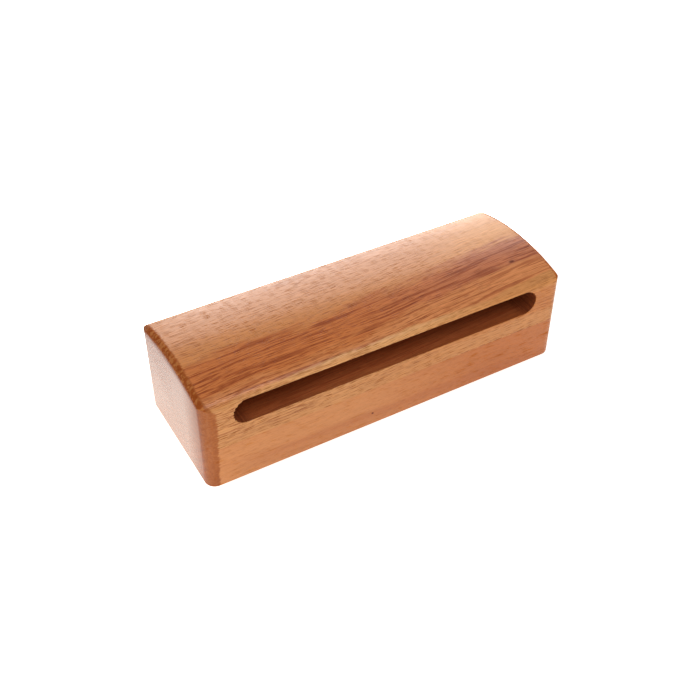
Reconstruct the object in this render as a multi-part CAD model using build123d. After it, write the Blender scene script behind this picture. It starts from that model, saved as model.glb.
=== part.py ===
from build123d import *
import math
import os

# A woodblock: two hardwood boards glued face to face, shaped as one block, with a blind sounding
# slot routed into the front. X runs along the block, Y from its front to its back, Z up from its base.

# Driving dimensions, in millimetres
LENGTH = 200.0
DEPTH = 71.0
SIDE_HEIGHT = 50.0  # where the arched top would meet the upright sides
CROWN_RISE = 6.0  # how far the middle of the top stands above that line
BASE_BOARD_THICKNESS = 24.0  # from the base up to the glue line
UPRIGHT_EDGE_RADIUS = 5.5  # the four upright edges
END_ROUND_DEPTH = 3.0  # how far in along the top the rounding across each end reaches
END_ROUND_DROP = 4.3  # how far that rounding lowers the shoulders of the end face
END_CROWN_RISE = 3.4  # the flatter arch that it leaves above those shoulders
END_ROUND_POWER = 2.5  # its fullness: 2 gives a quarter of an ellipse, and more is squarer
END_ROUND_BANDS = 6  # strips that make up the rounding
TOP_EDGE_RADIUS = 6.0  # the two long edges of the top
BASE_EDGE_RADIUS = 1.0  # the edge all round the base
SLOT_LENGTH = 169.0
SLOT_HEIGHT = 13.6  # also the diameter of its round ends
SLOT_CENTRE_HEIGHT = 41.1
SLOT_DEPTH = 48.0  # from the front face to the slot's blind back


def cross_section(side_height, crown_rise):
    """The block seen from its end: upright sides under a shallow arch with rounded corners."""
    half_depth = DEPTH / 2
    sides = Polyline((-half_depth, side_height), (-half_depth, 0), (half_depth, 0), (half_depth, side_height))
    crown = ThreePointArc((half_depth, side_height), (0, side_height + crown_rise), (-half_depth, side_height))
    outline = make_face([sides, crown])
    top_corners = outline.vertices().group_by(Axis.Y)[-1]
    return fillet(top_corners, TOP_EDGE_RADIUS)


def rounded_end(side):
    """One end of the bar: cross-sections that sink along the rounding, from the full one to the lowest."""
    start = LENGTH / 2 - END_ROUND_DEPTH
    sections = []
    for band in range(END_ROUND_BANDS + 1):
        turn = math.pi / 2 * band / END_ROUND_BANDS
        outward = math.sin(turn) ** (2 / END_ROUND_POWER)
        sunk = 1 - math.cos(turn) ** (2 / END_ROUND_POWER)
        side_height = SIDE_HEIGHT - END_ROUND_DROP * sunk
        crown_rise = CROWN_RISE + (END_CROWN_RISE - CROWN_RISE) * sunk
        place = Plane.YZ.offset(side * (start + END_ROUND_DEPTH * outward))
        sections.append(place * cross_section(side_height, crown_rise))
    return loft(sections, ruled=True)


def arched_bar():
    """The full cross-section run along the length between two rounded ends."""
    full = cross_section(SIDE_HEIGHT, CROWN_RISE)
    bar = extrude(Plane.YZ * full, amount=LENGTH / 2 - END_ROUND_DEPTH, both=True)
    return bar + rounded_end(-1) + rounded_end(1)


def shaped_block():
    """The whole outside: the bar with its upright edges rounded and its base edge eased."""
    plan = RectangleRounded(LENGTH, DEPTH, UPRIGHT_EDGE_RADIUS)
    clear_height = SIDE_HEIGHT + 2 * CROWN_RISE
    block = arched_bar() & extrude(plan, amount=clear_height)
    base = block.faces().sort_by(Axis.Z)[0]
    return fillet(base.edges(), BASE_EDGE_RADIUS)


def sounding_slot():
    """The hollow that the cutter leaves, drawn from well in front of the block to its blind back."""
    in_front = Plane((0, -DEPTH, SLOT_CENTRE_HEIGHT), x_dir=(1, 0, 0), z_dir=(0, 1, 0))
    travel = DEPTH / 2 + SLOT_DEPTH
    return extrude(in_front * SlotOverall(SLOT_LENGTH, SLOT_HEIGHT), amount=travel)


block = shaped_block()
glue_line = Plane.XY.offset(BASE_BOARD_THICKNESS)
boards = {
    "base_board": split(block, glue_line, keep=Keep.BOTTOM),
    "slotted_board": split(block, glue_line, keep=Keep.TOP) - sounding_slot(),
}

os.makedirs("parts", exist_ok=True)
for name, board in boards.items():
    export_step(board, f"parts/{name}.step")
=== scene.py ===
import math

import bmesh
import bpy
from mathutils import Color, Matrix, Vector


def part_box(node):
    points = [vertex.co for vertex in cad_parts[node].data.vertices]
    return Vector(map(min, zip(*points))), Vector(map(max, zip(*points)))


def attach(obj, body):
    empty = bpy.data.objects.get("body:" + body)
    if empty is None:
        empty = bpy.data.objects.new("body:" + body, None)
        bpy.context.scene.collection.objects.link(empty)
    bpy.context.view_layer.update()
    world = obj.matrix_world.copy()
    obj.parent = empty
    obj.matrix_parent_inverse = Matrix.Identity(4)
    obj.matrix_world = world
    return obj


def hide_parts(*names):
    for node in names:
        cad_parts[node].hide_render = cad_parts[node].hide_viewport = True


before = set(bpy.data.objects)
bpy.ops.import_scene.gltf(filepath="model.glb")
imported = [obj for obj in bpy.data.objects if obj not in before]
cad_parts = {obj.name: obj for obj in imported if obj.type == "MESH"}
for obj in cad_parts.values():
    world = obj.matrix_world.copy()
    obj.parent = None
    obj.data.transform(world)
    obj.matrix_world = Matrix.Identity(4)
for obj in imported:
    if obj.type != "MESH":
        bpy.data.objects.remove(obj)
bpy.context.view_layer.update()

# The looks of a woodblock: two boards of lacquered hardwood, glued face to face, with a routed slot.
# Sizes are in metres and colours are linear. X runs along the grain, Y from front to back, Z up.
MM = 0.001

# The slotted board's shape, which is the solid's
board_low, board_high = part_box("slotted_board")
HALF_LENGTH = (board_high.x - board_low.x) / 2
HALF_DEPTH = (board_high.y - board_low.y) / 2
GLUE_LINE = board_low.z
CROWN_TOP = board_high.z
CROWN_RISE = 6.0 * MM
SIDE_HEIGHT = CROWN_TOP - CROWN_RISE
END_ROUND_DEPTH = 3.0 * MM
END_ROUND_DROP = 4.3 * MM
END_CROWN_RISE = 3.4 * MM
END_ROUND_POWER = 2.5
UPRIGHT_EDGE_RADIUS = 5.5 * MM
TOP_EDGE_RADIUS = 6.0 * MM
SLOT_LENGTH = 169.0 * MM
SLOT_RADIUS = 6.8 * MM
SLOT_CENTRE = 41.1 * MM
SLOT_DEPTH = 48.0 * MM

# How finely the board is divided
END_STEPS = 16
LENGTH_STEPS = 28
EDGE_STEPS = 10
EDGE_BAND = 1.0 * MM  # the least width of the strip that the edge steps divide
CROWN_STEPS = 16
SMOOTH_ANGLE = math.radians(30)

# What the router left in the slot
ROUND_STEPS = 96
STRAIGHT_STEPS = 150
RIM_EASE = 0.2 * MM
TEAR_OUT = 0.3 * MM
TEAR_DEPTH = 1.6 * MM
TEAR_INSIDE = 0.7  # the share of the tear that is left where the eased rim ends
TEAR_TEETH = 21.0  # as many as there would be in a full turn
TEAR_SWELLS = 3.0  # how often in a full turn the teeth crowd together
TEAR_UNEVEN = 1.7  # how far they crowd, in radians of one tooth
CHATTER = 0.03 * MM
CHATTER_PITCH = 2.1  # the turn of its ripple from one point to the next, in radians
OVERCUT = 2.0 * MM


def inset_at(from_end, radius):
    """How far an edge rounding lies inside its flat face, at a distance from the end of the block."""
    if from_end >= radius:
        return 0.0
    return radius - math.sqrt(radius ** 2 - (radius - from_end) ** 2)


def stations():
    """Places along the board for its cross-sections: close together round the ends, even between them."""
    turns = [math.pi / 2 * step / END_STEPS for step in range(END_STEPS + 1)]
    from_end = [UPRIGHT_EDGE_RADIUS * (1 - math.cos(turn)) for turn in turns]
    reach = HALF_LENGTH - UPRIGHT_EDGE_RADIUS
    left = [-HALF_LENGTH + distance for distance in sorted((END_ROUND_DEPTH, *from_end))]
    middle = [reach * (2 * step / LENGTH_STEPS - 1) for step in range(1, LENGTH_STEPS)]
    return left + middle + [-x for x in reversed(left)]


class Arch:
    """The top of a cross-section: a crown arc between two rounded long edges."""

    def __init__(self, side_height, rise):
        self.radius = (HALF_DEPTH ** 2 + rise ** 2) / (2 * rise)
        self.centre = side_height + rise - self.radius
        self.edge_y = HALF_DEPTH - TOP_EDGE_RADIUS
        rounded = self.radius - TOP_EDGE_RADIUS
        self.edge_slope = math.acos(self.edge_y / rounded)
        self.edge_z = self.centre + rounded * math.sin(self.edge_slope)

    def height(self, y):
        """How high the top reaches at a distance from the middle."""
        if y <= self.radius * math.cos(self.edge_slope):
            return self.centre + math.sqrt(self.radius ** 2 - y ** 2)
        return self.edge_z + math.sqrt(max(0.0, TOP_EDGE_RADIUS ** 2 - (y - self.edge_y) ** 2))

    def across(self, half_width):
        """Distances from the middle for the points of a section, from its side to its middle."""
        bend = min(self.radius * math.cos(self.edge_slope), half_width - EDGE_BAND)
        first, last = (math.acos((y - self.edge_y) / TOP_EDGE_RADIUS) for y in (half_width, bend))
        turns = [first + (last - first) * step / EDGE_STEPS for step in range(EDGE_STEPS)]
        edge = [self.edge_y + TOP_EDGE_RADIUS * math.cos(turn) for turn in turns]
        return edge + [bend * (1 - step / CROWN_STEPS) for step in range(CROWN_STEPS + 1)]


FULL_ARCH = Arch(SIDE_HEIGHT, CROWN_RISE)
END_ARCH = Arch(SIDE_HEIGHT - END_ROUND_DROP, END_CROWN_RISE)


def cross_section(x):
    """The board's outline at x: up its front from the glue line, over the top and down its back."""
    from_end = HALF_LENGTH - abs(x)
    half_width = HALF_DEPTH - inset_at(from_end, UPRIGHT_EDGE_RADIUS)
    outward = max(0.0, 1 - from_end / END_ROUND_DEPTH)
    share = (1 - outward ** END_ROUND_POWER) ** (1 / END_ROUND_POWER)
    half = [(half_width, GLUE_LINE)]
    for y in FULL_ARCH.across(half_width):
        low = END_ARCH.height(y)
        half.append((y, low + (FULL_ARCH.height(y) - low) * share))
    return [(-y, z) for y, z in half] + half[-2::-1]


def loft(name, rings):
    """A closed mesh object through rings of points, each ring with as many points as the next."""
    shape = bmesh.new()
    loops = [[shape.verts.new(point) for point in ring] for ring in rings]
    for one, other in zip(loops, loops[1:]):
        for index in range(len(one)):
            shape.faces.new((one[index - 1], one[index], other[index], other[index - 1]))
    shape.faces.new(loops[0])
    shape.faces.new(loops[-1])
    bmesh.ops.recalc_face_normals(shape, faces=shape.faces)
    mesh = bpy.data.meshes.new(name)
    shape.to_mesh(mesh)
    shape.free()
    made = bpy.data.objects.new(name, mesh)
    bpy.context.scene.collection.objects.link(made)
    return made


def front_surface(z):
    """How far forward the front of the board reaches at a height."""
    above = max(0.0, z - FULL_ARCH.edge_z)
    return -FULL_ARCH.edge_y - math.sqrt(TOP_EDGE_RADIUS ** 2 - above ** 2)


def slot_outline():
    """Points round the slot, each with its outward direction: an end, the roof, an end, the floor."""
    half_straight = SLOT_LENGTH / 2 - SLOT_RADIUS
    points = []
    for side in (1, -1):
        for step in range(ROUND_STEPS):
            turn = math.pi * step / ROUND_STEPS
            out_x, out_z = side * math.sin(turn), -side * math.cos(turn)
            points.append((side * half_straight, out_x, out_z))
        for step in range(STRAIGHT_STEPS):
            points.append((side * half_straight * (1 - 2 * step / STRAIGHT_STEPS), 0.0, side))
    return points


def tear_out(out_x, out_z):
    """How far the wood is torn back, or below 0 left standing, where the cutter left the slot's left end."""
    if out_x > 0:
        return 0.0
    turn = math.atan2(out_z, -out_x)
    teeth = math.sin(TEAR_TEETH * turn + TEAR_UNEVEN * math.sin(TEAR_SWELLS * turn))
    return TEAR_OUT * teeth * -out_x


def slot_cutter():
    """The shape that the router takes out, with its chatter, a torn left rim and a slightly eased mouth."""
    rows = (
        (-OVERCUT, RIM_EASE, 1.0),
        (0.0, RIM_EASE, 1.0),
        (RIM_EASE, 0.0, TEAR_INSIDE),
        (TEAR_DEPTH, 0.0, 0.0),
        (SLOT_DEPTH, 0.0, 0.0),
    )
    rings = []
    for depth, ease, tear in rows:
        ring = []
        for index, (middle, out_x, out_z) in enumerate(slot_outline()):
            ripple = CHATTER * math.sin(CHATTER_PITCH * index)
            eased = ease * min(1.0, 1.0 - out_z)
            reach = SLOT_RADIUS + ripple + eased + tear * tear_out(out_x, out_z)
            mouth = front_surface(SLOT_CENTRE + SLOT_RADIUS * out_z)
            y = -HALF_DEPTH + depth if depth == SLOT_DEPTH else mouth + depth
            ring.append((middle + reach * out_x, y, SLOT_CENTRE + reach * out_z))
        rings.append(ring)
    return loft("slot_cutter", rings)


def carve(board, cutter):
    """Takes the cutter's shape out of the board and deletes the cutter."""
    cut = board.modifiers.new("slot", "BOOLEAN")
    cut.operation = "DIFFERENCE"
    cut.solver = "EXACT"
    cut.object = cutter
    plain_mesh = board.data
    board.data = bpy.data.meshes.new_from_object(board.evaluated_get(bpy.context.evaluated_depsgraph_get()))
    board.data.name = board.name
    board.modifiers.clear()
    bpy.data.meshes.remove(plain_mesh)
    bpy.data.objects.remove(cutter)


def in_slot(centre):
    """Whether a face's centre lies behind the mouth of the slot, on one of its walls."""
    behind = centre.y - front_surface(min(centre.z, FULL_ARCH.edge_z + TOP_EDGE_RADIUS))
    margin = TEAR_OUT + RIM_EASE
    beside = abs(centre.x) < SLOT_LENGTH / 2 + margin
    level = abs(centre.z - SLOT_CENTRE) < SLOT_RADIUS + margin
    return RIM_EASE / 2 < behind < SLOT_DEPTH + margin and beside and level


def make_slotted_board(lacquered, routed):
    """The upper board: the arched block with its slot, smooth where it is rounded."""
    rings = [[(x, y, z) for y, z in cross_section(x)] for x in stations()]
    board = loft("carved_slotted_board", rings)
    carve(board, slot_cutter())
    board.data.materials.clear()
    board.data.materials.append(lacquered)
    board.data.materials.append(routed)
    for face in board.data.polygons:
        face.use_smooth = True
        face.material_index = int(in_slot(face.center))
    board.data.set_sharp_from_angle(angle=SMOOTH_ANGLE)
    even = board.modifiers.new("even_normals", "WEIGHTED_NORMAL")
    even.keep_sharp = True
    return board


# The places of a colour mix's sockets, which share their names with others on that node
MIX_FIRST = 6
MIX_SECOND = 7
MIX_RESULT = 2


class NodeWeb:
    """Adds shader nodes to one new material. All methods but feed and surface return an output."""

    def __init__(self, name):
        self.material = bpy.data.materials.new(name)
        self.material.use_nodes = True
        self.tree = self.material.node_tree
        self.tree.nodes.clear()

    def feed(self, socket, value):
        """Links an output to a socket, or sets the socket to a plain value."""
        if isinstance(value, bpy.types.NodeSocket):
            self.tree.links.new(value, socket)
        elif value is not None:
            socket.default_value = value

    def add(self, kind, *inputs, output=0, **settings):
        """A node of any kind, with its inputs in their own order."""
        node = self.tree.nodes.new(kind)
        for setting, value in settings.items():
            setattr(node, setting, value)
        for socket, value in zip(node.inputs, inputs):
            self.feed(socket, value)
        return node.outputs[output]

    def math(self, operation, first, second=None):
        """A step of arithmetic on one or two numbers."""
        return self.add("ShaderNodeMath", first, second, operation=operation)

    def product(self, first, *others):
        """All the numbers multiplied together."""
        for other in others:
            first = self.math("MULTIPLY", first, other)
        return first

    def vector(self, operation, first, second=None):
        """A step of arithmetic on one or two vectors."""
        return self.add("ShaderNodeVectorMath", first, second, operation=operation)

    def along(self, place, direction):
        """How far a place lies along a direction."""
        return self.add("ShaderNodeVectorMath", place, direction, operation="DOT_PRODUCT", output="Value")

    def length(self, vector):
        """How long a vector is."""
        return self.add("ShaderNodeVectorMath", vector, operation="LENGTH", output="Value")

    def fade(self, value, start, end):
        """Rises smoothly from 0 at start to 1 at end. End may be the lower one."""
        return self.add("ShaderNodeMapRange", value, start, end, interpolation_type="SMOOTHSTEP")

    def span(self, value, start, end, low, high):
        """Runs evenly from low at start to high at end, and goes no further."""
        return self.add("ShaderNodeMapRange", value, start, end, low, high)

    def between(self, share, first, second):
        """The first number where the share is 0, and the second where it is 1."""
        return self.add("ShaderNodeMix", share, None, first, second)

    def noise(self, place, detail=2.0, roughness=0.5, output=0):
        """Smooth noise with features of about size 1."""
        return self.add("ShaderNodeTexNoise", place, None, 1.0, detail, roughness, output=output)

    def blend(self, share, first, second, kind="MIX"):
        """Mixes the second colour into the first."""
        mixed = self.tree.nodes.new("ShaderNodeMix")
        mixed.data_type = "RGBA"
        mixed.blend_type = kind
        self.feed(mixed.inputs["Factor"], share)
        self.feed(mixed.inputs[MIX_FIRST], first)
        self.feed(mixed.inputs[MIX_SECOND], second)
        return mixed.outputs[MIX_RESULT]

    def tint(self, shade, tone, mask, strength):
        """Lays a tone over a shade where the mask is 1, as far as its strength goes."""
        return self.blend(self.product(mask, strength), shade, tone)

    def darken(self, shade, tone, mask, strength):
        """Multiplies a shade by a tone where the mask is 1, as far as its strength goes."""
        return self.blend(self.product(mask, strength), shade, tone, "MULTIPLY")

    def surface(self, **sockets):
        """The finished surface, from values for the shader's sockets."""
        shader = self.tree.nodes.new("ShaderNodeBsdfPrincipled")
        for name, value in sockets.items():
            self.feed(shader.inputs[name.replace("_", " ")], value)
        finish = self.tree.nodes.new("ShaderNodeOutputMaterial")
        self.tree.links.new(shader.outputs[0], finish.inputs[0])


DISPLAY_WHITE = 255


def colour(red, green, blue):
    """A linear colour from its display values, 0 to 255."""
    shown = Color([value / DISPLAY_WHITE for value in (red, green, blue)])
    return (*shown.from_srgb_to_scene_linear(), 1.0)


# The colours of the wood
TAN = colour(202, 131, 74)
RIGHT_TAN = colour(218, 149, 84)
RED_BROWN = colour(195, 113, 58)
DUSKY = colour(188, 112, 72)
FRONT_TAN = colour(208, 133, 80)
YELLOW = colour(198, 136, 80)
ROSE = colour(190, 117, 57)
# A pale tone for the painted highlight along the rounded top edge over the slot
EDGE_HIGHLIGHT_TONE = colour(222, 164, 106)
END_GRAIN = colour(158, 80, 34)
SANDED = colour(163, 93, 48)
ORANGE = colour(199, 130, 76)
ROSE_ORANGE = colour(183, 105, 50)
BROWN_BAND = colour(172, 96, 50)
ROUTED = colour(154, 74, 32)
# A dark brown for the slot's scorch marks, also used there as painted shade
SCORCH_AND_SHADE_TONE = colour(104, 44, 16)

# Tones that darken what they lie on
PORE_TONE = (0.48, 0.34, 0.26, 1.0)
KNOT_TONE = (0.25, 0.15, 0.12, 1.0)
STREAK_TONE = (0.62, 0.46, 0.38, 1.0)

# In the wood, lengths are in millimetres. A SIZE is a pattern's length along the grain and its width
# across it. Other pairs are the two ends of a fade, or the two values that it runs between.
TO_MM = (1 / MM, 1 / MM, 1 / MM)
ALONG = (1.0, 0.0, 0.0)
ACROSS = (0.0, 1.0, 0.0)
UPWARD = (0.0, 0.0, 1.0)
NOISE_MIDDLE = (0.5, 0.5, 0.5)
NOISE_RANGE = (0.3, 0.7)

# How the grain runs
GRAIN_CLIMB = 0.055
WANDER_SIZE = (110.0, 30.0)
WANDER = 5.0
WAVE_SIZE = (24.0, 12.0)
WAVE = 1.6

# A pore fades from its edge inwards, and some pores are fainter by chance
PORE_EDGE = (1.0, 0.4)
PORE_CHANCE = (0.1, 0.9)
SPOT_CORE = 0.3

# The fine fibres of both woods
FIBRE_ROUGHNESS = 0.6
FIBRE_HEIGHT = 0.3


def stretch(web, place, length, width):
    """Places squeezed so that a pattern of size 1 becomes long along the grain and narrow across it."""
    return web.vector("MULTIPLY", place, (1 / length, 1 / width, 1 / width))


def drift(web, place, size, reach):
    """A smooth sideways shift of up to about half the reach, so that straight grain wanders."""
    noise = web.noise(stretch(web, place, *size), detail=1.0, output="Color")
    centred = web.vector("SUBTRACT", noise, NOISE_MIDDLE)
    return web.vector("MULTIPLY", centred, (0.0, reach, reach))


def grain_place(web):
    """Places in millimetres, and the same along grain that climbs to the right and wanders a little."""
    place = web.vector("MULTIPLY", web.add("ShaderNodeTexCoord", output="Object"), TO_MM)
    climb = web.product(web.along(place, ALONG), -GRAIN_CLIMB)
    grain = web.vector("ADD", place, web.add("ShaderNodeCombineXYZ", 0.0, climb, 0.0))
    grain = web.vector("ADD", grain, drift(web, place, WANDER_SIZE, WANDER))
    return place, web.vector("ADD", grain, drift(web, place, WAVE_SIZE, WAVE))


def strokes(web, grain, size, edge, detail=1.0):
    """Strokes along the grain, 0 to 1: pores where they are short, streaks where they are long."""
    return web.fade(web.noise(stretch(web, grain, *size), detail), *edge)


def pores(web, place, grain, pitch, spread, length, width):
    """Short dashes along the grain, one to a cell and each of its own strength, 0 to 1.

    The cells are pitch long and spread wide. A dash reaches length and width either way from its centre.
    """
    side = web.math("SIGN", web.along(place, ACROSS))
    down = web.math("SUBTRACT", CROWN_TOP / MM, web.along(place, UPWARD))
    round_edges = web.math("ADD", web.along(grain, ACROSS), web.product(side, down))
    spots = web.add("ShaderNodeCombineXYZ", web.along(grain, ALONG), round_edges)
    spots = web.vector("MULTIPLY", spots, (1 / pitch, 1 / spread, 0.0))
    nearest = web.add("ShaderNodeTexVoronoi", spots, None, 1.0, output="Position", voronoi_dimensions="2D")
    chance = web.add("ShaderNodeTexVoronoi", spots, None, 1.0, output="Color", voronoi_dimensions="2D")
    away = web.vector("SUBTRACT", spots, nearest)
    away = web.length(web.vector("MULTIPLY", away, (pitch / length, spread / width, 0.0)))
    return web.product(web.fade(away, *PORE_EDGE), web.fade(web.along(chance, ALONG), *PORE_CHANCE))


def spot(web, place, centre, radius, longer=1.0):
    """A small mark, 1 at its centre, and longer along the grain where that is asked for."""
    away = web.vector("MULTIPLY", web.vector("SUBTRACT", place, centre), (1 / longer, 1.0, 1.0))
    return web.fade(web.length(away), radius, radius * SPOT_CORE)


def with_fibres(web, grain, shade, opened, size, detail, glint):
    """The shade with a glint of fine fibres, and the height of the surface, which is lower in open pores."""
    fibres = web.noise(stretch(web, grain, *size), detail, FIBRE_ROUGHNESS)
    bright = web.span(fibres, *NOISE_RANGE, *glint)
    shade = web.add("ShaderNodeVectorMath", shade, None, None, bright, operation="SCALE")
    return shade, web.math("SUBTRACT", web.product(fibres, FIBRE_HEIGHT), opened)


# Where the left upright edges are sanded, and where end grain shows on the ends and their rounding.
# FACING and RISING pairs are shares of the surface normal: along the block, and upward.
RAGGED_SIZE = (6.0, 1.2)
RAGGED_DETAIL = 3.0
RAGGED_ROUGHNESS = 0.6
SANDED_REACH = (-91.8, -93.2)
SANDED_LEAN = (1.0, 0.0, -0.035)
SANDED_RAGGED = 3.6
SANDED_NARROWS = 4.5  # how much narrower the sanding is where the edge turns over to the top
FLAT_FACING = (0.6, 0.99)
FLAT_RISING = (0.3, 0.1)
ROUND_REACH = (96.3, 97.3)
ROUND_RISING = (0.1, 0.3)
ROUND_BACK = (32.0, 26.0)
END_FACING = (0.9, 0.97)

# The growth rings that show on the ends
SLOTTED_PITH = (0.0, -22.0, -42.0)
BASE_PITH = (0.0, 34.0, 82.0)
RING_WIDTH = 4.2
RING_WANDER_SIZE = (14.0, 14.0)
RING_WANDER = 7.0
RING_DARKENS = (0.3, 0.9)
RING_ENDS = (1.0, 0.92)
RING_STRENGTH = 0.6
END_PORE_SIZE = (0.55, 0.55)
END_PORE_EDGE = (0.6, 0.7)

# The tones of sanded wood and end grain
GRIT_SIZE = (1.6, 0.8)
GRIT_EDGE = (0.35, 0.65)
GRIT_STRENGTH = 0.4
FLECK_SIZE = (6.0, 1.6)
FLECK_EDGE = (0.45, 0.65)
FLECK_STRENGTH = 0.6
SANDED_STRENGTH = 0.9
FOOT_REACH = (22.0, 4.0)
FOOT_STRENGTH = 0.28
END_STRENGTH = 0.95
FIGURE_STRENGTH = 0.6

# The clear coat
COAT = 0.68
COAT_SANDED = 0.36
COAT_ROUNDED_ENDS = 0.05
COAT_GONE = 0.9  # how open a pore is where it has no coat left
COAT_FLAT_REACH = (-32.0, -14.0)
COAT_FLAT_ENDS = (0.45, 1.0)
COAT_ROUGHNESS = 0.22
COAT_IOR = 1.5
WOOD_ROUGHNESS = 0.5
WOOD_BUMP = 0.7


def end_masks(web, place):
    """Where end grain shows, where the left upright edges are sanded and where the ends are flat, 0 to 1."""
    normal = web.add("ShaderNodeTexCoord", output="Normal")
    facing = web.math("ABSOLUTE", web.along(normal, ALONG))
    rising = web.along(normal, UPWARD)
    ragged = web.noise(stretch(web, place, *RAGGED_SIZE), RAGGED_DETAIL, RAGGED_ROUGHNESS)
    edge = web.math("ADD", web.along(place, SANDED_LEAN), web.product(ragged, SANDED_RAGGED))
    edge = web.math("ADD", edge, web.product(web.math("MAXIMUM", rising, 0.0), SANDED_NARROWS))
    sanded = web.fade(edge, *SANDED_REACH)
    flat_ends = web.product(web.fade(facing, *FLAT_FACING), web.fade(rising, *FLAT_RISING))
    worn = web.math("SUBTRACT", web.math("ABSOLUTE", web.along(place, ALONG)), ragged)
    rounding = web.product(web.fade(worn, *ROUND_REACH), web.fade(rising, *ROUND_RISING))
    rounding = web.product(rounding, web.fade(web.along(place, ACROSS), *ROUND_BACK))
    return web.math("MAXIMUM", rounding, web.fade(facing, *END_FACING)), sanded, flat_ends


def end_figure(web, place, pith):
    """Growth rings round the pith, each darker towards its outside, with small pores in them, 0 to 1."""
    from_pith = web.vector("MULTIPLY", web.vector("SUBTRACT", place, pith), (0.0, 1.0, 1.0))
    uneven = web.product(web.noise(stretch(web, place, *RING_WANDER_SIZE)), RING_WANDER)
    radius = web.math("ADD", web.length(from_pith), uneven)
    turn = web.math("FRACT", web.math("DIVIDE", radius, RING_WIDTH))
    rings = web.product(web.fade(turn, *RING_DARKENS), web.fade(turn, *RING_ENDS), RING_STRENGTH)
    return web.math("MAXIMUM", rings, strokes(web, place, END_PORE_SIZE, END_PORE_EDGE))


def end_tones(web, place, shade, pith, ends, sanded, flat_ends):
    """The shade with the browner, grittier tones of sanded wood and end grain laid over it."""
    shade = web.tint(shade, SANDED, sanded, SANDED_STRENGTH)
    foot = web.fade(web.along(place, UPWARD), *FOOT_REACH)
    shade = web.darken(shade, STREAK_TONE, web.product(sanded, foot), FOOT_STRENGTH)
    shade = web.tint(shade, END_GRAIN, ends, END_STRENGTH)
    grit = strokes(web, place, GRIT_SIZE, GRIT_EDGE, detail=2.0)
    rough = web.product(web.math("MAXIMUM", ends, sanded), grit)
    shade = web.darken(shade, STREAK_TONE, rough, GRIT_STRENGTH)
    flecks = strokes(web, place, FLECK_SIZE, FLECK_EDGE, detail=2.0)
    flecks = web.product(web.math("SUBTRACT", ends, flat_ends), flecks)
    shade = web.tint(shade, TAN, flecks, FLECK_STRENGTH)
    figure = web.product(end_figure(web, place, pith), flat_ends)
    return web.darken(shade, STREAK_TONE, figure, FIGURE_STRENGTH)


def lacquer(web, place, shade, opened, height, relief, pith):
    """Finishes a wood: its ends, under a clear satin coat that is thin where sanding or pores open it."""
    ends, sanded, flat_ends = end_masks(web, place)
    shade = end_tones(web, place, shade, pith, ends, sanded, flat_ends)
    bump = web.add("ShaderNodeBump", WOOD_BUMP, relief, None, height)
    coat = web.between(ends, web.span(sanded, 0.0, 1.0, COAT, COAT_SANDED), COAT_ROUNDED_ENDS)
    coat = web.product(coat, web.span(opened, 0.0, COAT_GONE, 1.0, 0.0))
    flat_coat = web.span(web.along(place, ACROSS), *COAT_FLAT_REACH, *COAT_FLAT_ENDS)
    web.surface(
        Base_Color=shade, Roughness=WOOD_ROUGHNESS, Specular_IOR_Level=0.0, Normal=bump,
        Coat_Weight=web.between(flat_ends, coat, flat_coat), Coat_Roughness=COAT_ROUGHNESS,
        Coat_IOR=COAT_IOR, Coat_Normal=bump,
    )


# The slotted board's zones: a red one along the top, a yellow front face and a back that is like the base
ROSY_REACH = (-30.0, 70.0)
LIGHT_REACH = (30.0, 90.0)
RED_START = (-4.0, -11.0)
RED_END = (-22.0, -28.0)
RED_RAGGED = 5.0
FRONT_REACH = (-31.3, -33.5)
FRONT_TURN = (-0.02, 1.0, 0.0)
FRONT_RAGGED = 2.0
BACK_REACH = (31.0, 34.5)
BACK_STRENGTH = 0.8
PATCH_SIZE = (50.0, 9.0)
PATCH_DETAIL = 3.0
PATCH_ROUGHNESS = 0.55
PATCH_EDGE = (0.52, 0.75)
PATCH_STRENGTH = 0.2

# The front face's marks: a pale strip over the slot, which is a painted highlight where the rounded top edge
# catches light, lighter wood under it, the seam and fine lines
PALE_ALONG = (-92.0, -72.0)
PALE_UP = (45.5, 48.0)
PALE_FADES = (0.0, 60.0)
PALE_AT_RIGHT = 0.45
EDGE_HIGHLIGHT_STRENGTH = 0.8
LIGHTER_DOWN = (34.5, 31.0)
LIGHTER_ALONG = (0.0, 45.0)
LIGHTER_STRENGTH = 0.7
SEAM_DOWN = (25.0, 24.3)
SEAM_ALONG = (10.0, 50.0)
SEAM_BREAK_SIZE = (3.0, 3.0)
SEAM_BREAK_EDGE = (0.4, 0.6)
SEAM_STRENGTH = 0.8
LINE_SIZE = (60.0, 0.55)
LINE_EDGE = (0.53, 0.58)
LINE_ALONG = (20.0, -60.0)
LINE_UP = (24.0, 29.0)
LINE_STRENGTH = 0.75

# The streaks, which are strongest in the red zone
STREAK_SIZE = (42.0, 1.2)
STREAK_EDGE = (0.5, 0.6)
STREAK_DETAIL = 3.0
STREAK_STRENGTH = 0.92
STREAKS_AHEAD = 0.9
STREAKS_ELSEWHERE = 0.1

# The pores, each kind by its pitch, spread, length and width, and how they crowd together
LONG_PORES = (24.0, 1.5, 11.0, 0.35)
COARSE_PORES = (7.0, 1.15, 3.4, 0.25)
FINE_PORES = (4.4, 0.8, 2.5, 0.22)
LONG_PORES_IN_FRONT = 0.3
FINE_STRENGTH = 0.75
PORE_STRENGTH = 0.95
CROWD_SIZE = (24.0, 8.0)
CROWD_RANGE = (0.3, 0.6)
CROWD_LEAST = 0.7
CROWD_THINS = (20.0, 95.0)
CROWD_AT_RIGHT = 0.5
CROWD_IN_FRONT = 0.75

# The knot, the fibres and the relief
KNOT = (81.2, -16.9, 54.6)
KNOT_RADIUS = 1.2
KNOT_LONGER = 2.0
KNOT_STRENGTH = 0.9
SLOTTED_FIBRE_SIZE = (20.0, 0.5)
SLOTTED_FIBRE_DETAIL = 3.0
SLOTTED_GLINT = (0.87, 1.13)
SLOTTED_RELIEF = 0.05 * MM


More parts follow.
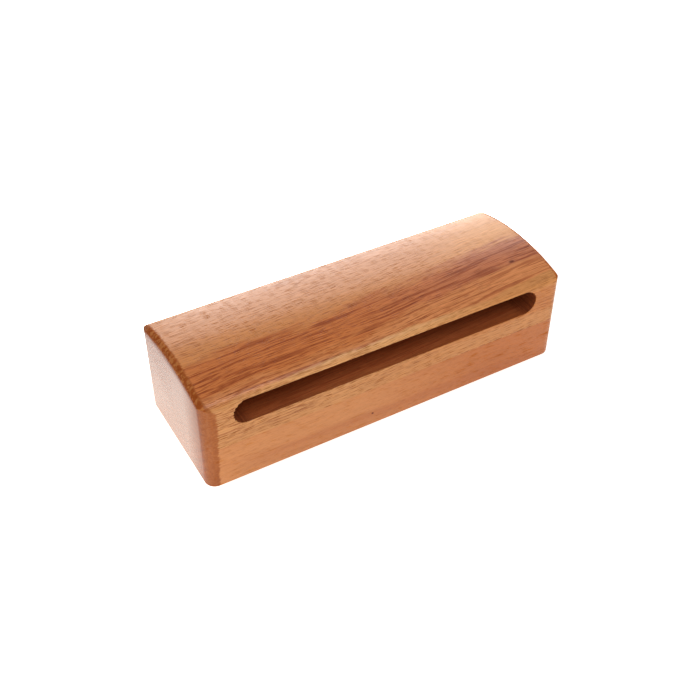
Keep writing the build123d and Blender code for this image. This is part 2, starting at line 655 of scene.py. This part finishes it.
class Zones:
    """Where the slotted board's kinds of wood lie, as masks from 0 to 1."""

    def __init__(self, web, place, grain):
        self.along = web.along(place, ALONG)
        self.level = web.along(place, UPWARD)
        self.rosy = web.fade(self.along, *ROSY_REACH)
        self.patches = web.noise(stretch(web, grain, *PATCH_SIZE), PATCH_DETAIL, PATCH_ROUGHNESS)
        across = self.ragged(web, web.along(grain, ACROSS), RED_RAGGED)
        self.ahead = web.fade(across, *RED_END)
        self.red = web.math("SUBTRACT", web.fade(across, *RED_START), self.ahead)
        self.front = web.fade(self.ragged(web, web.along(place, FRONT_TURN), FRONT_RAGGED), *FRONT_REACH)
        self.back = web.fade(web.along(place, ACROSS), *BACK_REACH)
        streaked = web.math("MAXIMUM", self.red, web.product(self.ahead, STREAKS_AHEAD))
        self.streaky = web.product(web.math("SUBTRACT", streaked, self.front), STREAK_STRENGTH)

    def ragged(self, web, distance, reach):
        """A distance that the patches in the wood shift by up to the reach, either way."""
        return web.math("ADD", distance, web.span(self.patches, *NOISE_RANGE, reach, -reach))


def zone_tones(web, zones):
    """The colours of the zones, most of them rosier to the right, with darker patches."""
    shade = web.blend(web.fade(zones.along, *LIGHT_REACH), TAN, RIGHT_TAN)
    shade = web.blend(zones.ahead, shade, FRONT_TAN)
    shade = web.blend(zones.red, shade, web.blend(zones.rosy, RED_BROWN, DUSKY))
    shade = web.blend(zones.front, shade, web.blend(zones.rosy, YELLOW, ROSE))
    shade = web.tint(shade, web.blend(zones.rosy, ORANGE, ROSE_ORANGE), zones.back, BACK_STRENGTH)
    return web.darken(shade, STREAK_TONE, web.fade(zones.patches, *PATCH_EDGE), PATCH_STRENGTH)


def front_marks(web, place, grain, zones, shade):
    """The shade with the front face's marks on it, and a painted highlight in the strip over the slot."""
    # The pale strip over the slot is a painted highlight where the rounded top edge catches light.
    painted_highlight = web.product(zones.front, web.fade(zones.along, *PALE_ALONG), web.fade(zones.level, *PALE_UP))
    painted_highlight = web.product(painted_highlight, web.span(zones.along, *PALE_FADES, 1.0, PALE_AT_RIGHT))
    shade = web.tint(shade, EDGE_HIGHLIGHT_TONE, painted_highlight, EDGE_HIGHLIGHT_STRENGTH)
    lighter = web.product(web.fade(zones.level, *LIGHTER_DOWN), web.fade(zones.along, *LIGHTER_ALONG))
    shade = web.tint(shade, YELLOW, web.product(lighter, zones.front), LIGHTER_STRENGTH)
    seam = web.product(web.fade(zones.level, *SEAM_DOWN), web.fade(zones.along, *SEAM_ALONG))
    seam = web.product(seam, strokes(web, place, SEAM_BREAK_SIZE, SEAM_BREAK_EDGE, detail=2.0), zones.front)
    shade = web.darken(shade, STREAK_TONE, seam, SEAM_STRENGTH)
    lined = web.product(web.fade(zones.along, *LINE_ALONG), web.fade(zones.level, *LINE_UP), zones.front)
    lines = web.product(strokes(web, grain, LINE_SIZE, LINE_EDGE, detail=2.0), lined)
    return web.darken(shade, STREAK_TONE, lines, LINE_STRENGTH)


def dark_streaks(web, place, grain, zones, shade):
    """The shade with wavy dark streaks and long open pores in it."""
    streaks = strokes(web, grain, STREAK_SIZE, STREAK_EDGE, STREAK_DETAIL)
    shade = web.darken(shade, STREAK_TONE, streaks, web.math("MAXIMUM", zones.streaky, STREAKS_ELSEWHERE))
    strength = web.math("MAXIMUM", zones.streaky, web.product(zones.front, LONG_PORES_IN_FRONT))
    return web.darken(shade, STREAK_TONE, pores(web, place, grain, *LONG_PORES), strength)


def open_pores(web, place, grain, zones):
    """Coarse and fine pores, crowded in patches and on the front face, and fewer to the right, 0 to 1."""
    fine = web.product(pores(web, place, grain, *FINE_PORES), FINE_STRENGTH)
    dashes = web.math("MAXIMUM", pores(web, place, grain, *COARSE_PORES), fine)
    crowd = web.span(web.noise(stretch(web, place, *CROWD_SIZE)), *CROWD_RANGE, CROWD_LEAST, 1.0)
    crowd = web.product(crowd, web.span(zones.along, *CROWD_THINS, 1.0, CROWD_AT_RIGHT))
    return web.product(dashes, web.math("MAXIMUM", crowd, web.product(zones.front, CROWD_IN_FRONT)))


def streaked_shade(web, place, grain):
    """The slotted board's colour, how far its pores are open, and the height of its surface."""
    zones = Zones(web, place, grain)
    shade = front_marks(web, place, grain, zones, zone_tones(web, zones))
    shade = dark_streaks(web, place, grain, zones, shade)
    opened = open_pores(web, place, grain, zones)
    shade = web.darken(shade, PORE_TONE, opened, PORE_STRENGTH)
    knot = spot(web, place, KNOT, KNOT_RADIUS, KNOT_LONGER)
    shade = web.darken(shade, KNOT_TONE, knot, KNOT_STRENGTH)
    fibres = (SLOTTED_FIBRE_SIZE, SLOTTED_FIBRE_DETAIL, SLOTTED_GLINT)
    shade, height = with_fibres(web, grain, shade, opened, *fibres)
    return shade, opened, height


def streaked_wood(name):
    """The slotted board's wood: open pores, wavy red streaks and yellower wood at the front."""
    web = NodeWeb(name)
    place, grain = grain_place(web)
    shade, opened, height = streaked_shade(web, place, grain)
    lacquer(web, place, shade, opened, height, SLOTTED_RELIEF, SLOTTED_PITH)
    return web.material


# The bare wood in the slot, browned by the cutter and streaked with scorch marks. It has painted shade
# towards its right and at its right end. It is darker towards its left and at its left end, where there are
# burn and tool marks.
ROUTED_STRENGTH = 0.75
SCORCH_SIZE = (16.0, 0.6)
SCORCH_EDGE = (0.42, 0.66)
SCORCH_STRENGTH = 0.35
SHADE_TO_RIGHT = (-40.0, 80.0)
SHADE_TO_RIGHT_STRENGTH = 0.3
DARKER_TO_LEFT = (-10.0, -60.0)
DARKER_TO_LEFT_STRENGTH = 0.22
BURN_AND_SHADE_REACH = (74.0, 80.0)
BURN_MARKS = (1 / 0.7, 1 / 25.0, 1 / 0.7)
BURN_RANGE = (0.35, 0.65)
BURN_AND_SHADE_STRENGTH = (0.3, 0.9)
ROUTED_BUMP = 0.5
ROUTED_RELIEF = 0.06 * MM
ROUTED_ROUGHNESS = 0.7
ROUTED_GLOSS = 0.2


def routed_wood(name):
    """The slotted board's wood on the walls of its slot."""
    web = NodeWeb(name)
    place, grain = grain_place(web)
    along = web.along(place, ALONG)
    shade, _, height = streaked_shade(web, place, grain)
    shade = web.blend(ROUTED_STRENGTH, shade, ROUTED)
    scorch = strokes(web, grain, SCORCH_SIZE, SCORCH_EDGE, detail=2.0)
    shade = web.tint(shade, SCORCH_AND_SHADE_TONE, scorch, SCORCH_STRENGTH)
    # Painted shade: the slot grows darker towards its right end.
    shade = web.tint(shade, SCORCH_AND_SHADE_TONE, web.fade(along, *SHADE_TO_RIGHT), SHADE_TO_RIGHT_STRENGTH)
    shade = web.tint(shade, SCORCH_AND_SHADE_TONE, web.fade(along, *DARKER_TO_LEFT), DARKER_TO_LEFT_STRENGTH)
    # Both ends of the slot are darker: burn and tool marks at the left end, painted shade at the right end.
    burn_and_shade = web.fade(web.math("ABSOLUTE", along), *BURN_AND_SHADE_REACH)
    marks = web.noise(web.vector("MULTIPLY", place, BURN_MARKS))
    shade = web.tint(shade, SCORCH_AND_SHADE_TONE, burn_and_shade, web.span(marks, *BURN_RANGE, *BURN_AND_SHADE_STRENGTH))
    bump = web.add("ShaderNodeBump", ROUTED_BUMP, ROUTED_RELIEF, None, height)
    web.surface(Base_Color=shade, Roughness=ROUTED_ROUGHNESS, Specular_IOR_Level=ROUTED_GLOSS, Normal=bump)
    return web.material


# The base board's wood
QUIET_PATCH_SIZE = (80.0, 7.0)
QUIET_PATCH_EDGE = (0.45, 0.75)
QUIET_PATCH_STRENGTH = 0.3
QUIET_PORE_SIZE = (9.0, 0.5)
QUIET_PORE_EDGE = (0.58, 0.7)
QUIET_PORE_STRENGTH = 0.25
BAND_CLIMB = (0.025, 0.0, 1.0)
BAND_TOP = (11.0, 7.0)
BAND_ALONG = (-85.0, -45.0)
BAND_FADES = (6.5, 4.0)
BAND_STRENGTH = (0.5, 0.3)
SPECKLE_SIZE = (2.5, 0.6)
SPECKLE_EDGE = (0.5, 0.7)
SPECKLE_STRENGTH = 0.25
PIN_HOLE = (-11.6, -35.5, 7.6)
PIN_HOLE_RADIUS = 0.9
QUIET_FIBRE_SIZE = (40.0, 0.9)
QUIET_FIBRE_DETAIL = 4.0
QUIET_GLINT = (0.93, 1.06)
QUIET_RELIEF = 0.04 * MM


def quiet_wood(name):
    """The base board's wood: smooth and even, rosier to the right, with a browner band low on it."""
    web = NodeWeb(name)
    place, grain = grain_place(web)
    along = web.along(place, ALONG)
    shade = web.blend(web.fade(along, *ROSY_REACH), ORANGE, ROSE_ORANGE)
    patches = strokes(web, grain, QUIET_PATCH_SIZE, QUIET_PATCH_EDGE, detail=3.0)
    shade = web.tint(shade, BROWN_BAND, patches, QUIET_PATCH_STRENGTH)
    opened = strokes(web, grain, QUIET_PORE_SIZE, QUIET_PORE_EDGE)
    shade = web.darken(shade, PORE_TONE, opened, QUIET_PORE_STRENGTH)
    level = web.along(grain, BAND_CLIMB)
    banded = web.product(web.fade(level, *BAND_TOP), web.fade(along, *BAND_ALONG))
    strength = web.span(web.fade(level, *BAND_FADES), 0.0, 1.0, *BAND_STRENGTH)
    shade = web.tint(shade, BROWN_BAND, banded, strength)
    speckle = strokes(web, grain, SPECKLE_SIZE, SPECKLE_EDGE, detail=2.0)
    shade = web.darken(shade, STREAK_TONE, speckle, SPECKLE_STRENGTH)
    shade = web.darken(shade, KNOT_TONE, spot(web, place, PIN_HOLE, PIN_HOLE_RADIUS), 1.0)
    fibres = (QUIET_FIBRE_SIZE, QUIET_FIBRE_DETAIL, QUIET_GLINT)
    shade, height = with_fibres(web, grain, shade, opened, *fibres)
    lacquer(web, place, shade, opened, height, QUIET_RELIEF, BASE_PITH)
    return web.material


# The camera, as fitted to the photograph's view
CAMERA_AIM = Vector((-4.88, -1.60, 20.56)) * MM
CAMERA_DISTANCE = 538.36 * MM
CAMERA_AZIMUTH = math.radians(-30.25)
CAMERA_ELEVATION = math.radians(40.75)
CAMERA_ROLL = math.radians(0.28)
CAMERA_LENS = 54.404
CAMERA_SENSOR = 36.0


def make_camera():
    """The camera, which looks down at the block from its front left."""
    level = math.cos(CAMERA_ELEVATION)
    back = Vector((
        math.sin(CAMERA_AZIMUTH) * level, -math.cos(CAMERA_AZIMUTH) * level, math.sin(CAMERA_ELEVATION)
    ))
    right = Vector((math.cos(CAMERA_AZIMUTH), math.sin(CAMERA_AZIMUTH), 0.0))
    up = back.cross(right)
    facing = Matrix((right, up, back)).transposed() @ Matrix.Rotation(CAMERA_ROLL, 3, "Z")
    data = bpy.data.cameras.new("camera")
    data.lens = CAMERA_LENS
    data.sensor_width = CAMERA_SENSOR
    camera = bpy.data.objects.new("camera", data)
    bpy.context.scene.collection.objects.link(camera)
    camera.matrix_world = Matrix.Translation(CAMERA_AIM + back * CAMERA_DISTANCE) @ facing.to_4x4()
    bpy.context.scene.camera = camera


# The studio: a floor that glows, more so in a strip beside the left end and in a field behind the block
FLOOR_SIZE = 6.0
FLOOR_GLOW = 0.75
FLOOR_WHITE = (0.6, 0.6, 0.6, 1.0)
FLOOR_LIGHT = (1.0, 0.97, 0.92, 1.0)
FLOOR_ROUGHNESS = 0.9
SIDE_DIRECTION = (-0.95, 0.3, 0.0)
SIDE_NEAR = (0.072, 0.092)
SIDE_FAR = (0.16, 0.1)
SIDE_GLOW = 1.0
SIDE_LIGHT = (1.0, 0.95, 0.84, 1.0)
BACK_NEAR = (0.037, 0.06)
BACK_FAR = (0.5, 0.3)
BACK_ALONG = (-0.1, -0.08)
BACK_GLOW = 2.3
WORLD_WHITE = (1.0, 1.0, 1.0, 1.0)
WORLD_STRENGTH = 0.4


def make_floor():
    """A white floor that glows as a lit sheet does, most of all beside the left end and behind the block."""
    bpy.ops.mesh.primitive_plane_add(size=FLOOR_SIZE)
    floor = bpy.context.active_object
    floor.name = "floor"
    web = NodeWeb("floor_white")
    place = web.add("ShaderNodeTexCoord", output="Object")
    side = web.along(place, SIDE_DIRECTION)
    beside = web.product(web.fade(side, *SIDE_NEAR), web.fade(side, *SIDE_FAR))
    back = web.along(place, ACROSS)
    behind = web.product(web.fade(back, *BACK_NEAR), web.fade(back, *BACK_FAR))
    behind = web.product(behind, web.fade(web.along(place, ALONG), *BACK_ALONG))
    glow = web.math("ADD", web.product(beside, SIDE_GLOW), FLOOR_GLOW)
    glow = web.math("ADD", glow, web.product(behind, BACK_GLOW))
    web.surface(
        Base_Color=FLOOR_WHITE, Roughness=FLOOR_ROUGHNESS, Specular_IOR_Level=0.0,
        Emission_Color=web.blend(beside, FLOOR_LIGHT, SIDE_LIGHT), Emission_Strength=glow,
    )
    floor.data.materials.append(web.material)


def make_panel(name, place, aim, width, height, power):
    """A soft box that faces its aim."""
    data = bpy.data.lights.new(name, "AREA")
    data.shape = "RECTANGLE"
    data.size = width
    data.size_y = height
    data.energy = power
    panel = bpy.data.objects.new(name, data)
    bpy.context.scene.collection.objects.link(panel)
    panel.location = place
    panel.rotation_euler = (Vector(aim) - Vector(place)).to_track_quat("-Z", "Y").to_euler()


def make_studio():
    """The white surroundings, the floor and four soft boxes, in metres and watts."""
    world = bpy.data.worlds.new("studio")
    world.use_nodes = True
    background = world.node_tree.nodes["Background"]
    background.inputs["Color"].default_value = WORLD_WHITE
    background.inputs["Strength"].default_value = WORLD_STRENGTH
    bpy.context.scene.world = world
    bpy.context.scene.view_settings.view_transform = "Standard"
    make_floor()
    base = (0.0, 0.0, 0.0)
    front = (0.0, 0.0, 0.03)
    top = (0.0, 0.0, 0.05)
    make_panel("overhead_box", place=(0.1, -0.7, 1.3), aim=base, width=1.2, height=0.8, power=7.6)
    make_panel("front_box", place=(-0.3, -1.4, 0.6), aim=front, width=0.8, height=0.6, power=2.5)
    make_panel("back_box", place=(0.98, 1.16, 0.58), aim=top, width=1.8, height=1.15, power=22.0)
    make_panel("back_strip", place=(0.57, 1.25, 0.2), aim=top, width=2.4, height=0.35, power=3.5)


slotted_board = make_slotted_board(streaked_wood("slotted_wood"), routed_wood("routed_wood"))
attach(slotted_board, "root")
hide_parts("slotted_board")

base_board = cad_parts["base_board"]
base_board.data.materials.clear()
base_board.data.materials.append(quiet_wood("base_wood"))

make_camera()
make_studio()
